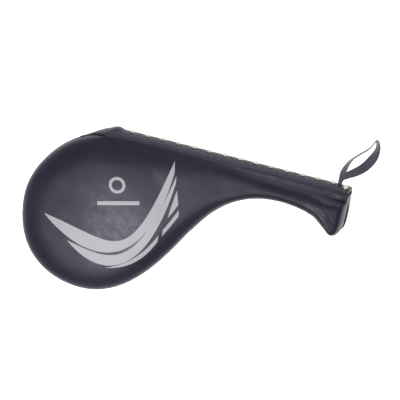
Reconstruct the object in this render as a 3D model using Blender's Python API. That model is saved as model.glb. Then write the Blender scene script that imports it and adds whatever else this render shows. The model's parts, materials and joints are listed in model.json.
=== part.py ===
"""Double-leaf kick paddle: two padded, drumstick-shaped leaves joined like a book along a riveted spine.

+X runs along the spine from the head to the butt, +Y points out of the spine, and +Z is the front face's
normal. The paddle lies on its back leaf. The world origin is at its base, under the middle of its box.
Everything is drawn about the hinge line first, in the leaf frame, where the line is y = z = 0.
"""

from math import acos, cos, pi, radians, sin

import bmesh
import bpy
import numpy as np

# The leaf's outline, in the leaf frame. Each reach is the length of a curve's handle.
SPINE_START = np.array((-0.008, -0.0003))
HEAD_LEFT = np.array((-0.117, -0.106))
HEAD_BOTTOM = np.array((-0.0245, -0.2057))
NECK = np.array((0.101, -0.095))
NECK_SLOPE = radians(50)
GRIP = np.array((0.203, -0.031))
FLARE_START = np.array((0.249, -0.0395))
FLARE_SLOPE = radians(22)
FLARE_TIP = np.array((0.271, -0.0565))
BUTT_LOW = np.array((0.2855, -0.038))
BUTT_TOP = np.array((0.2865, -0.0003))
HEAD_REACHES = (0.061, 0.0486, 0.080, 0.036)
NECK_REACHES = (0.072, 0.022, 0.012, 0.068)
GRIP_REACHES = (0.024, 0.006)
TIP_ROUNDING = np.array((0.284, -0.0555))
SPAN_POINTS = 24

# How each leaf's surfaces are divided into faces: rings of them, from the edge to the leaf's middle line.
HEAD_POINTS = 32
BUTT_POINTS = 12
CUT_POINTS = 5
STATION_STEP = 0.0150
HEAD_MIDDLE_X = -0.0260
CUT_MIDDLE = 0.008  # how far the middle line stops short of a square-cut end
NEAR_SHARES = (0.0, 0.05, 0.16, 0.34, 0.58, 0.82, 1.0)
FAR_SHARES = (0.0, 0.0, 0.0, 0.04, 0.16, 0.50, 1.0)
NEAR_REACH = 0.020
BULGE_SHARES = (0.0, 0.16, 0.45, 1.0)

# The leaf's section.
LINING_LIFT = 0.0006  # from the hinge plane to each lining
LINING_THICKNESS = 0.0012
COVER_THICKNESS = 0.0015
CLEARANCE = 0.0003
FILLING_GAP = 0.0019  # from the cover's inner face to its filling
FILLING_SHELF = 0.004  # how much further a filling's shelf reaches than the cover's
BOARD_THICKNESS = 0.002
HEAD_HEIGHT = 0.024
GRIP_HEIGHT = 0.0185
EDGE_HEIGHT = 0.003
INNER_EDGE_HEIGHT = 0.0022
HEAD_ROUNDING = 0.034
GRIP_ROUNDING = 0.014
WALL_HEIGHT = 0.0109
WALL_ROUNDING = 0.003
WALL_RINGS = (0.0, 0.0009, WALL_ROUNDING)
WALL_DEPTH = 0.0055  # an edge point this close to the hinge line belongs to the wall
WALL_FADE = 0.030  # length over which the shelf runs out at the head
BULGE_REACH = 0.75  # length of the rise behind the shelf, as a share of the edge's rounding
CROWN_POWER = 2.2
CROWN_DROP, CROWN_SPREAD = 0.0024, 0.100  # how far the front pad falls away from its middle, over what reach
SHELF_MARGIN = 0.0010  # how much further the shelf reaches than the wing that lies on it
HEAD_ENDS, GRIP_STARTS = 0.060, 0.150
GRIP_ENDS, BUTT_STARTS = 0.232, 0.268
CORE_START = 0.1205
PAD_END = 0.118
BOARD_INSET, FOAM_INSET, CORE_INSET = 0.0060, 0.0045, 0.0035

# The spine: a leather band round both leaves' walls, on a backing bar, with a row of rivets.
BAND_THICKNESS = 0.0013
BAND_RADIUS = 0.01195  # to the middle of the leather
PLATE_Y = 0.005
PLATE_TOP, PLATE_BOTTOM = 0.0094, -0.0085
CORNER_OVERLAP = radians(3)
CORNER_POINTS = 5
BAND_START, BAND_END = -0.024, 0.2845
FRONT_WING_START = -0.020
WING_END_ANGLE = radians(62)
HEAD_WING, BUTT_WING = 0.0035, 0.0090
WING_WIDENS, WING_FULL = 0.095, 0.185  # where each wing starts to widen and where it stops
BUTT_CORNER = 0.0035
LUMP_X, LUMP_HEIGHT, LUMP_SPREAD = -0.014, 0.0028, 0.006
LUMP_DROP = 0.35  # how much lower the plate's free edge is on the lump, as a share of its height
TAB_START, TAB_STATIONS = -0.060, 9
TAB_LIFT, TAB_TIP_LIFT = 0.00075, 0.0012
TAB_TIP_THICKNESS, TAB_THICKENING = 0.0008, 0.0010
TAB_TIP_HALF, TAB_WIDENING = 0.0022, 0.0045
TAB_FRONT_SHARE, TAB_EDGE_SHARE = 0.4, 0.9
BACKING_Y, BACKING_THICKNESS = 0.0033, 0.0014
BACKING_HALF_WIDTH = 0.0048
BACKING_ENDS = (-0.005, 0.2835)

# Rivets and their washers. The last rivet is closer to its neighbour than the others are.
RIVETS = 15
FIRST_RIVET_X = 0.0030
RIVET_PITCH = 0.0200
LAST_PITCH = 0.0164
CAP_RADIUS, CAP_HEIGHT = 0.0035, 0.0019
SHANK_RADIUS = 0.0013
RIVET_HOLE = SHANK_RADIUS + CLEARANCE
WASHER_RADIUS, WASHER_THICKNESS = 0.0032, 0.0005
CLINCH_RADIUS, CLINCH_THICKNESS = 0.0021, 0.0004
CAP_RIM = 0.25  # the cap's rim, as a share of its height
CAP_ANGLES = (0.0, 0.6, 1.1)
HOLE_DEPTH = 0.012
TURNED_SIDES = 10

# The wrist strap: a ribbon folded into a loop, whose two ends pass through a slit in the spine.
STRAP_X = 0.2706
STRAP_AXIS_Y = 0.0081
STRAP_THICKNESS = 0.0014
TAB_SIZE = (0.0080, 0.0056, 0.0030)
TAB_Y = 0.0045
SLIT_DEPTH, SLIT_Y = 0.014, 0.005
STRAP_SECTIONS = 38
# Route points from one end of the ribbon to the other, with its width and its twist out of flat, in degrees.
STRAP_ROUTE = (
    (0.2706, 0.0104, -0.0012, 0.0085, 0),
    (0.2706, 0.0140, -0.0020, 0.0086, 6),
    (0.2710, 0.0200, -0.0060, 0.0092, 28),
    (0.2738, 0.0290, -0.0125, 0.0100, 62),
    (0.2790, 0.0365, -0.0165, 0.0105, 85),
    (0.2870, 0.0445, -0.0178, 0.0110, 90),
    (0.2945, 0.0520, -0.0178, 0.0110, 90),
    (0.2990, 0.0590, -0.0178, 0.0110, 90),
    (0.3010, 0.0640, -0.0178, 0.0110, 90),
    (0.3040, 0.0640, -0.0178, 0.0110, 88),
    (0.3055, 0.0560, -0.0180, 0.0110, 66),
    (0.3030, 0.0440, -0.0200, 0.0115, 30),
    (0.2985, 0.0340, -0.0222, 0.0115, 4),
    (0.2930, 0.0262, -0.0200, 0.0112, 0),
    (0.2850, 0.0205, -0.0130, 0.0105, 0),
    (0.2765, 0.0168, -0.0050, 0.0095, 0),
    (0.2715, 0.0140, -0.0002, 0.0088, 0),
    (0.2706, 0.0104, 0.0012, 0.0085, 0),
)

SECTION_CORNERS = ((-1, -1), (1, -1), (1, 1), (-1, 1))  # of the straps' four-sided sections

# The assembly.
REST_OPENING = radians(1.6)
HINGE_HEIGHT = HEAD_HEIGHT

LEATHER = ("cover_leather", (0.060, 0.057, 0.082), 0.45, 0.0)
LINING = ("lining_leather", (0.050, 0.048, 0.065), 0.62, 0.0)
FOAM = ("foam", (0.55, 0.55, 0.50), 0.90, 0.0)
BOARD = ("stiffener_board", (0.75, 0.75, 0.72), 0.50, 0.0)
CORE = ("grip_core", (0.45, 0.30, 0.16), 0.60, 0.0)
BAND = ("spine_leather", (0.070, 0.067, 0.090), 0.50, 0.0)
NICKEL = ("rivet_nickel", (0.78, 0.76, 0.72), 0.30, 1.0)
STEEL = ("washer_steel", (0.62, 0.62, 0.60), 0.40, 1.0)
RIBBON = ("strap_ribbon", (0.085, 0.080, 0.115), 0.60, 0.0)


def clear_scene():
    for obj in list(bpy.data.objects):
        bpy.data.objects.remove(obj)


def material(finish):
    name, colour, roughness, metallic = finish
    made = bpy.data.materials.get(name)
    if made is None:
        made = bpy.data.materials.new(name)
        made.use_nodes = True
        shader = made.node_tree.nodes["Principled BSDF"]
        shader.inputs["Base Color"].default_value = (*colour, 1)
        shader.inputs["Roughness"].default_value = roughness
        shader.inputs["Metallic"].default_value = metallic
    return made


def frame_empty(name, location, rotation=(0, 0, 0), parent=None):
    empty = bpy.data.objects.new(name, None)
    empty.location = location
    empty.rotation_euler = rotation
    empty.parent = parent
    bpy.context.collection.objects.link(empty)
    return empty


def add_object(name, mesh_data, parent, finish, location=(0, 0, 0)):
    made = bpy.data.objects.new(name, mesh_data)
    made.location = location
    made.parent = parent
    if not mesh_data.materials:
        mesh_data.materials.append(material(finish))
    bpy.context.collection.objects.link(made)
    return made


def finished_mesh(name, bm, sharp_angle=radians(40)):
    bmesh.ops.recalc_face_normals(bm, faces=bm.faces)
    mesh_data = bpy.data.meshes.new(name)
    bm.to_mesh(mesh_data)
    bm.free()
    mesh_data.shade_smooth()
    mesh_data.set_sharp_from_angle(angle=sharp_angle)
    return mesh_data


def smooth_step(value, low, high):
    share = np.clip((value - low) / (high - low), 0, 1)
    return share * share * (3 - 2 * share)


def rounding(share):
    """The rise of a rounded edge, from 0 at its foot to 1 at its top."""
    left = 1 - np.clip(share, 0, 1)
    return (1 - left**CROWN_POWER) ** (1 / CROWN_POWER)


def between(start, end, share):
    return start + (end - start) * share


def bezier(start, start_handle, end_handle, end):
    t = np.linspace(0, 1, SPAN_POINTS, endpoint=False)[:, None]
    outer = (1 - t) ** 3 * start + t**3 * end
    return outer + 3 * t * (1 - t) ** 2 * start_handle + 3 * t * t * (1 - t) * end_handle


def straight_handles(start, end):
    return between(start, end, 0.4), between(start, end, 0.7)


def direction(angle):
    return np.array((cos(angle), sin(angle)))


def leaf_outline():
    """The leaf's free edge, from the spine's start round the head, along the grip and round the butt."""
    along_x, along_y = np.array((1, 0)), np.array((0, 1))
    neck_way, flare_way = direction(NECK_SLOPE), direction(-FLARE_SLOPE)
    top, left_up, left_down, bottom = HEAD_REACHES
    head, neck_in, neck_out, grip_in = NECK_REACHES
    grip_out, flare_in = GRIP_REACHES
    spans = [
        bezier(SPINE_START, SPINE_START - top * along_x, HEAD_LEFT + left_up * along_y, HEAD_LEFT),
        bezier(HEAD_LEFT, HEAD_LEFT - left_down * along_y, HEAD_BOTTOM - bottom * along_x, HEAD_BOTTOM),
        bezier(HEAD_BOTTOM, HEAD_BOTTOM + head * along_x, NECK - neck_in * neck_way, NECK),
        bezier(NECK, NECK + neck_out * neck_way, GRIP - grip_in * along_x, GRIP),
        bezier(GRIP, GRIP + grip_out * along_x, FLARE_START - flare_in * flare_way, FLARE_START),
        bezier(FLARE_START, *straight_handles(FLARE_START, FLARE_TIP), FLARE_TIP),
        bezier(FLARE_TIP, between(FLARE_TIP, TIP_ROUNDING, 0.5), TIP_ROUNDING, BUTT_LOW),
        bezier(BUTT_LOW, *straight_handles(BUTT_LOW, BUTT_TOP), BUTT_TOP),
        BUTT_TOP[None, :],
    ]
    return np.concatenate(spans)


OUTLINE = leaf_outline()


def inset_outline(distance):
    """The free edge moved inwards. Both ends slide along the wall, which moves inwards too."""
    ways = np.gradient(OUTLINE, axis=0)
    ways /= np.linalg.norm(ways, axis=1)[:, None]
    inwards = np.stack((-ways[:, 1], ways[:, 0]), axis=1)
    moved = OUTLINE + inwards * distance
    moved[:, 1] = np.minimum(moved[:, 1], SPINE_START[1] - distance)
    return moved


def edge_distance(points):
    """How far each point is from the leaf's free edge."""
    start, end = OUTLINE[:-1], OUTLINE[1:]
    span = end - start
    offset = points[:, None, :] - start[None, :, :]
    share = np.clip((offset * span).sum(2) / (span * span).sum(1), 0, 1)
    nearest = start + share[:, :, None] * span
    return np.linalg.norm(points[:, None, :] - nearest, axis=2).min(axis=1)


def wing_width(x):
    """How far each wing of the spine band reaches over the leaf, from the hinge line."""
    return between(HEAD_WING, BUTT_WING, smooth_step(x, WING_WIDENS, WING_FULL))


def surface_height(points, side, inset=0.0, shelf_extra=0.0):
    """The height of the leaf's outer surface above the hinge plane, or of the surface inset below it.

    Along the wall a shelf takes the spine's wing. shelf_extra makes it wider. The front pad is slightly
    domed, and the back one is flat.
    """
    x, y = points[:, 0], points[:, 1]
    past_head = smooth_step(x, HEAD_ENDS, GRIP_STARTS)
    in_grip = past_head - smooth_step(x, GRIP_ENDS, BUTT_STARTS)
    reach = between(HEAD_ROUNDING, GRIP_ROUNDING, past_head)
    full = between(HEAD_HEIGHT, GRIP_HEIGHT, in_grip) - inset
    from_middle = np.hypot(x - HEAD_BOTTOM[0], y - HEAD_LEFT[1]) / CROWN_SPREAD
    full = full - CROWN_DROP * (side > 0) * np.minimum(from_middle, 1) ** 2 * (1 - past_head)
    foot = EDGE_HEIGHT if inset == 0 else INNER_EDGE_HEIGHT
    free = foot + (full - foot) * rounding((edge_distance(points) - inset) / (reach - inset))
    depth = SPINE_START[1] - y - inset
    wall_round = WALL_ROUNDING * np.sqrt(1 - (1 - np.clip(depth / WALL_ROUNDING, 0, 1)) ** 2)
    fade = smooth_step(x, BAND_START - WALL_FADE, BAND_START)
    wall = full + (WALL_HEIGHT - inset - full) * fade - WALL_ROUNDING + wall_round
    past_wing = (depth - wing_width(x) - SHELF_MARGIN - shelf_extra) / (BULGE_REACH * reach)
    at_wall = wall + (full - wall) * rounding(past_wing)
    return np.minimum(free, at_wall)


def spread(points, count):
    """Points at equal steps along a line, both ends included."""
    steps = np.r_[0, np.cumsum(np.linalg.norm(np.diff(points, axis=0), axis=1))]
    at = np.linspace(0, steps[-1], count)
    return np.stack((np.interp(at, steps, points[:, 0]), np.interp(at, steps, points[:, 1])), axis=1)


def plan_of(inset, x_from=None, x_to=None):
    """The piece's edge points in order, and for each the point of the leaf's middle line that it looks at.

    x_from and x_to cut the leaf square across. Without them the piece has the leaf's own head and butt.
    """
    edge = inset_outline(inset)
    split = int(np.argmin(edge[:, 1]))
    tip = int(np.argmax(edge[:, 0] > BUTT_STARTS))
    x_start = SPINE_START[0] if x_from is None else x_from
    x_last = edge[tip, 0] if x_to is None else x_to
    stations = np.linspace(x_start, x_last, int((x_last - x_start) / STATION_STEP) + 1)
    low_line = edge[split:tip + 1]
    high = np.full_like(stations, SPINE_START[1] - inset)
    low = np.interp(stations, low_line[:, 0], low_line[:, 1])
    middle = np.stack((stations, (low + high) / 2), axis=1)
    if x_from is None:
        crossing = split + int(np.argmax(edge[split:, 0] >= x_start))
        around = spread(np.vstack((edge[:crossing], [[x_start, low[0]]])), HEAD_POINTS + 1)
        middle[0, 0] = HEAD_MIDDLE_X
    else:
        around = spread(np.array(((x_start, high[0]), (x_start, low[0]))), CUT_POINTS)
        middle[0, 0] += CUT_MIDDLE
    if x_to is None:
        ending = spread(np.vstack((edge[tip:], [[x_last, high[-1]]])), BUTT_POINTS)
    else:
        ending = spread(np.array(((x_last, low[-1]), (x_last, high[-1]))), CUT_POINTS)
        middle[-1, 0] -= CUT_MIDDLE
    first = np.tile(middle[0], (len(around), 1))
    last = np.tile(middle[-1], (len(ending), 1))
    low_points = np.stack((stations, low), axis=1)
    high_points = np.stack((stations, high), axis=1)
    points = np.vstack((around[:-1], low_points[:-1], ending[:-1], high_points[::-1][:-1]))
    targets = np.vstack((first[:-1], middle[:-1], last[:-1], middle[::-1][:-1]))
    return points, targets


def wall_walk(points, length, index):
    """How far each ring lies from the wall: round its corner, past the spine's wing, then up the bulge."""
    past_wing = wing_width(points[:, 0]) + SHELF_MARGIN
    if index < len(WALL_RINGS):
        return np.full_like(length, WALL_RINGS[index])
    share = BULGE_SHARES[index - len(WALL_RINGS)]
    return past_wing + (length - past_wing) * share


def ring_points(points, targets, index):
    span = targets - points
    length = np.linalg.norm(span, axis=1)
    near, far = NEAR_SHARES[index], FAR_SHARES[index]
    walked = near * np.minimum(length, NEAR_REACH) + far * np.maximum(length - NEAR_REACH, 0)
    at_wall = (points[:, 1] > -WALL_DEPTH) & (points[:, 0] > 2 * BAND_START)
    steepness = np.where(at_wall, np.abs(span[:, 1]) / length, 1)
    walked = np.where(at_wall, wall_walk(points, length * steepness, index) / steepness, walked)
    return points + span * (walked / length)[:, None]


def crown_faces(bm, points, targets, height_of, side):
    """Rings of faces from the edge up to the middle line. Returns the edge ring's vertices."""
    rings = []
    for index in range(len(NEAR_SHARES) - 1):
        flat = ring_points(points, targets, index)
        heights = height_of(flat)
        rings.append([bm.verts.new((x, y, side * z)) for (x, y), z in zip(flat, heights)])
    middle = {}
    last = []
    for target in targets:
        key = (round(target[0], 6), round(target[1], 6))
        if key not in middle:
            height = height_of(target[None, :])[0]
            middle[key] = bm.verts.new((target[0], target[1], side * height))
        last.append(middle[key])
    rings.append(last)
    for ring, above in zip(rings[:-1], rings[1:]):
        join_rings(bm, ring, above)
    return rings[0]


def join_rings(bm, ring, above):
    for i in range(len(ring)):
        j = (i + 1) % len(ring)
        corners = list(dict.fromkeys((ring[i], ring[j], above[j], above[i])))
        if len(corners) > 2:
            bm.faces.new(corners)


def level_ring(bm, points, height, side):
    return [bm.verts.new((x, y, side * height)) for x, y in points]


def make_cover(name, parent, side):
    """A moulded shell, open towards the lining."""
    bm = bmesh.new()
    rims = []
    for inset in (0.0, COVER_THICKNESS):
        points, targets = plan_of(inset)
        edge = crown_faces(bm, points, targets, lambda p, i=inset: surface_height(p, side, i), side)
        rim = level_ring(bm, points, LINING_LIFT, side)
        join_rings(bm, rim, edge)
        rims.append(rim)
    join_rings(bm, rims[0], rims[1])
    return add_object(name, finished_mesh(name, bm), parent, LEATHER)


def make_filling(name, parent, side, finish, base, inset, x_from, x_to):
    """A solid that fills the cover down to a flat base."""
    bm = bmesh.new()
    gap = COVER_THICKNESS + FILLING_GAP
    points, targets = plan_of(inset, x_from, x_to)
    edge = crown_faces(bm, points, targets, lambda p: surface_height(p, side, gap, FILLING_SHELF), side)
    foot = level_ring(bm, points, base, side)
    join_rings(bm, foot, edge)
    bm.faces.new(foot)
    return add_object(name, finished_mesh(name, bm), parent, finish)


def make_plate(name, parent, side, finish, inset, base, thickness, x_to=None):
    bm = bmesh.new()
    points, _ = plan_of(inset, None, x_to)
    low = level_ring(bm, points, base, side)
    high = level_ring(bm, points, base + thickness, side)
    join_rings(bm, low, high)
    bm.faces.new(low)
    bm.faces.new(high)
    return add_object(name, finished_mesh(name, bm), parent, finish)


def make_leaf(prefix, parent, side):
    board_base = LINING_LIFT + LINING_THICKNESS + CLEARANCE
    foam_base = board_base + BOARD_THICKNESS + CLEARANCE
    lining_inset = COVER_THICKNESS + CLEARANCE
    make_cover(f"{prefix}_cover", parent, side)
    make_plate(f"{prefix}_lining", parent, side, LINING, lining_inset, LINING_LIFT, LINING_THICKNESS)
    make_plate(f"{prefix}_stiffener", parent, side, BOARD, BOARD_INSET, board_base, BOARD_THICKNESS, PAD_END)
    make_filling(f"{prefix}_foam", parent, side, FOAM, foam_base, FOAM_INSET, None, PAD_END)
    make_filling(f"{prefix}_grip_core", parent, side, CORE, board_base, CORE_INSET, CORE_START, None)


def loft(name, parent, finish, sections):
    """A solid through closed sections that all have the same number of points."""
    bm = bmesh.new()
    rings = [[bm.verts.new(point) for point in section] for section in sections]
    for ring, above in zip(rings[:-1], rings[1:]):
        join_rings(bm, ring, above)
    bm.faces.new(rings[0])
    bm.faces.new(rings[-1])
    return add_object(name, finished_mesh(name, bm, radians(50)), parent, finish)


def wing_edge(x):
    """Where the leather of each wing ends. Its corner at the butt is rounded off."""
    return -wing_width(x) + BUTT_CORNER * smooth_step(x, BAND_END - 2 * BUTT_CORNER, BAND_END)


def leather_section(x, path):
    """The closed section of a leather band whose middle follows path, a line of (y, z) points."""
    path = np.array(path)
    ways = np.gradient(path, axis=0)
    ways /= np.linalg.norm(ways, axis=1)[:, None]
    across = np.stack((ways[:, 1], -ways[:, 0]), axis=1) * BAND_THICKNESS / 2
    outer, inner = path + across, path - across
    return [(x, y, z) for y, z in np.vstack((outer, inner[::-1]))]


def arc(radius, start, end, steps):
    return [(radius * cos(a), radius * sin(a)) for a in np.linspace(start, end, steps)]


def back_band_path(x):
    """From the plate's free edge, down the plate and round the back leaf's wall to the wing's edge."""
    lump = LUMP_HEIGHT * np.exp(-(((x - LUMP_X) / LUMP_SPREAD) ** 2))
    plate = PLATE_Y + lump
    top = PLATE_TOP * (1 - LUMP_DROP * lump / LUMP_HEIGHT)
    turn_in = acos(PLATE_Y / BAND_RADIUS)
    plate_line = [(plate, top), (plate, 0.0), (plate, PLATE_BOTTOM)]
    corner = arc(BAND_RADIUS, -turn_in - CORNER_OVERLAP, -pi / 2, CORNER_POINTS)
    return plate_line + corner + [(wing_edge(x) * 0.5, -BAND_RADIUS), (wing_edge(x), -BAND_RADIUS)]


def front_wing_path(x):
    corner = arc(BAND_RADIUS, WING_END_ANGLE, pi / 2, CORNER_POINTS)
    return corner + [(wing_edge(x) * 0.5, BAND_RADIUS), (wing_edge(x), BAND_RADIUS)]


def band_stations(start, end):
    near_lump = np.linspace(BAND_START, 0.0, 9)
    stations = np.r_[near_lump, np.linspace(0.020, end, 14)]
    return np.r_[start, stations[stations > start + 0.001]]


def make_end_tab(parent):
    """The thin end of the spine band, which follows the head's edge."""
    head_top = OUTLINE[:SPAN_POINTS + 1][::-1]
    sections = []
    for x in np.linspace(TAB_START, BAND_START - 2 * CLEARANCE, TAB_STATIONS):
        growth = (x - TAB_START) / (BAND_START - TAB_START)
        y = np.interp(x, head_top[:, 0], head_top[:, 1]) + TAB_LIFT + TAB_TIP_LIFT * (1 - growth)
        top = y + TAB_TIP_THICKNESS + TAB_THICKENING * growth
        low = -(TAB_TIP_HALF + TAB_WIDENING * growth)
        high = -TAB_FRONT_SHARE * low
        upper = ((x, top, low * TAB_EDGE_SHARE), (x, top, high * TAB_EDGE_SHARE))
        sections.append([(x, y, low), *upper, (x, y, high)])
    return loft("spine_end_tab", parent, BAND, sections)


def turned(name, profile, sides=TURNED_SIDES):
    """A solid turned about the Y axis, from (radius, y) points that meet the axis or close a ring."""
    bm = bmesh.new()
    rings = []
    for radius, y in profile:
        if radius == 0:
            rings.append([bm.verts.new((0, y, 0))] * sides)
            continue
        angles = [2 * pi * i / sides for i in range(sides)]
        rings.append([bm.verts.new((radius * cos(a), y, radius * sin(a))) for a in angles])
    pairs = list(zip(rings[:-1], rings[1:]))
    if profile[0][0] != 0:
        pairs.append((rings[-1], rings[0]))
    for ring, above in pairs:
        join_rings(bm, ring, above)
    return finished_mesh(name, bm)


def rivet_places():
    places = [FIRST_RIVET_X + i * RIVET_PITCH for i in range(RIVETS - 1)]
    return places + [places[-1] + LAST_PITCH]


def make_rivets(parent):
    seat = PLATE_Y + BAND_THICKNESS / 2 + CLEARANCE
    washer_top = BACKING_Y - BACKING_THICKNESS / 2 - CLEARANCE
    clinch_top = washer_top - WASHER_THICKNESS - CLEARANCE
    rise = CAP_HEIGHT * (1 - CAP_RIM)
    dome = [(CAP_RADIUS * cos(a), seat + CAP_HEIGHT * CAP_RIM + rise * sin(a)) for a in CAP_ANGLES]
    rivet = turned("rivet", [
        (0, seat + CAP_HEIGHT),
        *dome[::-1],
        (CAP_RADIUS, seat),
        (SHANK_RADIUS, seat),
        (SHANK_RADIUS, clinch_top),
        (CLINCH_RADIUS, clinch_top),
        (CLINCH_RADIUS * 0.8, clinch_top - CLINCH_THICKNESS),
        (0, clinch_top - CLINCH_THICKNESS),
    ])
    washer = turned("rivet_washer", [
        (RIVET_HOLE, washer_top),
        (WASHER_RADIUS, washer_top),
        (WASHER_RADIUS, washer_top - WASHER_THICKNESS),
        (RIVET_HOLE, washer_top - WASHER_THICKNESS),
    ])
    for number, x in enumerate(rivet_places(), start=1):
        add_object(f"rivet_{number:02d}", rivet, parent, NICKEL, (x, 0, 0))
        add_object(f"rivet_washer_{number:02d}", washer, parent, STEEL, (x, 0, 0))


def make_cutters(parent):
    """Rivet holes and the strap's slit, through the band and its backing."""
    bm = bmesh.new()
    for x in rivet_places():
        rings = []
        for y in (0.0, HOLE_DEPTH):
            angles = [2 * pi * i / TURNED_SIDES for i in range(TURNED_SIDES)]
            ring = [bm.verts.new((x + RIVET_HOLE * cos(a), y, RIVET_HOLE * sin(a))) for a in angles]
            rings.append(ring)
            bm.faces.new(ring)
        join_rings(bm, *rings)
    width, _, height = TAB_SIZE
    slit = bmesh.ops.create_cube(bm, size=1)["verts"]
    bmesh.ops.scale(bm, vec=(width + 2 * CLEARANCE, SLIT_DEPTH, height + 2 * CLEARANCE), verts=slit)
    bmesh.ops.translate(bm, vec=(STRAP_X, SLIT_Y, 0), verts=slit)
    cutter = add_object("spine_cutter", finished_mesh("spine_cutter", bm), parent, NICKEL)
    cutter.hide_render = True
    cutter.display_type = "WIRE"
    return cutter


def cut(obj, cutter):
    boolean = obj.modifiers.new("holes", "BOOLEAN")
    boolean.operation = "DIFFERENCE"
    boolean.object = cutter


def box_section(x, half_y, half_z, centre_y):
    return [(x, centre_y + a * half_y, b * half_z) for a, b in SECTION_CORNERS]


def make_spine(back, front):
    band = loft("spine_band", back, BAND, [
        leather_section(x, back_band_path(x)) for x in band_stations(BAND_START, BAND_END)
    ])
    loft("spine_front_wing", front, BAND, [
        leather_section(x, front_wing_path(x)) for x in band_stations(FRONT_WING_START, BAND_END)
    ])
    backing = loft("spine_backing", back, BAND, [
        box_section(x, BACKING_THICKNESS / 2, BACKING_HALF_WIDTH, BACKING_Y) for x in BACKING_ENDS
    ])
    cutter = make_cutters(back)
    cut(band, cutter)
    cut(backing, cutter)
    make_end_tab(back)
    make_rivets(back)


def smooth_route(points, count):
    """A Catmull-Rom curve through the points, at equal steps of its parameter."""
    points = np.array(points)
    padded = np.vstack((2 * points[0] - points[1], points, 2 * points[-1] - points[-2]))
    made = []
    for at in np.linspace(0, len(points) - 1, count):
        i = min(int(at), len(points) - 2)
        t = at - i
        a, b, c, d = padded[i:i + 4]
        square = 2 * a - 5 * b + 4 * c - d
        cube = 3 * b - a - 3 * c + d
        made.append(0.5 * (2 * b + (c - a) * t + square * t**2 + cube * t**3))
    return np.array(made)


def make_strap(root, swing):
    width, depth, height = TAB_SIZE
    half = width / 2
    loft("strap_tab", root, RIBBON, [
        box_section(STRAP_X + end, depth / 2, height / 2, TAB_Y) for end in (-half, half)
    ])
    route = smooth_route(STRAP_ROUTE, STRAP_SECTIONS)
    ways = np.gradient(route[:, :3], axis=0)
    ways /= np.linalg.norm(ways, axis=1)[:, None]
    pivot = np.array((STRAP_X, STRAP_AXIS_Y, 0))
    sections = []
    for (x, y, z, ribbon_width, twist), way in zip(route, ways):
        flat = np.cross(way, (0, 0, 1))
        flat /= np.linalg.norm(flat)
        up = np.cross(flat, way)
        across = flat * cos(radians(twist)) + up * sin(radians(twist))
        normal = np.cross(way, across)
        centre = np.array((x, y, z)) - pivot
        side, rise = across * ribbon_width / 2, normal * STRAP_THICKNESS / 2
        sections.append([tuple(centre + a * side + b * rise) for a, b in SECTION_CORNERS])
    loft("wrist_strap", swing, RIBBON, sections)


def main():
    clear_scene()
    cap_top = PLATE_Y + BAND_THICKNESS / 2 + CLEARANCE + CAP_HEIGHT
    centre_x = (OUTLINE[:, 0].min() + OUTLINE[:, 0].max()) / 2
    centre_y = (OUTLINE[:, 1].min() + cap_top) / 2
    paddle = frame_empty("paddle_frame", (-centre_x, -centre_y, HINGE_HEIGHT))
    leaf_hinge = frame_empty("leaf_hinge", (0, 0, 0), (-REST_OPENING, 0, 0), paddle)
    strap_hinge = frame_empty("strap_hinge", (STRAP_X, STRAP_AXIS_Y, 0), parent=paddle)
    make_leaf("back", paddle, -1)
    make_leaf("front", leaf_hinge, 1)
    make_spine(paddle, leaf_hinge)
    make_strap(paddle, strap_hinge)


main()
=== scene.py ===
"""The looks of the kick paddle.

Moulded leather leaves, a puckered and riveted spine band, a ribbon loop, stitches and a print. Shapes are
drawn in the leaf frame, where the hinge line is y = z = 0, +X runs along the spine to the butt and +Y points
out of it. place() takes them to the row frame. All lengths are in metres. A name that ends in SPAN holds the
two values between which something fades in or out.
"""

import json
from math import cos, pi, radians, sin

import bpy
import numpy as np
from mathutils import Matrix, Vector, noise


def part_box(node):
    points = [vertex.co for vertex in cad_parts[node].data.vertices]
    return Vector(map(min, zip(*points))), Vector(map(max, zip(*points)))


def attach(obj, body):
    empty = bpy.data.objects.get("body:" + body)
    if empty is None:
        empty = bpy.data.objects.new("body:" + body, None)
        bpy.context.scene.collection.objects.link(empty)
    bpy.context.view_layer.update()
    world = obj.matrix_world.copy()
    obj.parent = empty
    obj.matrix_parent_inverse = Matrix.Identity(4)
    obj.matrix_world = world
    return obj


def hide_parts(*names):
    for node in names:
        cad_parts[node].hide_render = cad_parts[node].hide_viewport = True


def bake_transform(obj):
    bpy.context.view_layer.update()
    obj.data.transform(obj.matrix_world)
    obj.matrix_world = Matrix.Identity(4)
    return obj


TINY = 1e-12
SEED_STEP = (7.31, 3.17, 1.93)  # how far apart two seeds look up their noise

# The leaf's outline, as the CAD has it.
SPINE_START = np.array((-0.008, -0.0003))
HEAD_LEFT = np.array((-0.117, -0.106))
HEAD_BOTTOM = np.array((-0.0245, -0.2057))
NECK = np.array((0.101, -0.095))
NECK_SLOPE = radians(50)
GRIP = np.array((0.203, -0.031))
FLARE_START = np.array((0.249, -0.0395))
FLARE_SLOPE = radians(22)
FLARE_TIP = np.array((0.271, -0.0565))
BUTT_LOW = np.array((0.2855, -0.038))
BUTT_TOP = np.array((0.2865, -0.0003))
TIP_ROUNDING = np.array((0.284, -0.0555))
HEAD_REACHES = (0.061, 0.0486, 0.080, 0.036)
NECK_REACHES = (0.072, 0.022, 0.012, 0.068)
GRIP_REACHES = (0.024, 0.006)
SPAN_POINTS = 40
HANDLE_SHARES = (0.4, 0.7)
REST_OPENING = radians(1.6)

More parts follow.
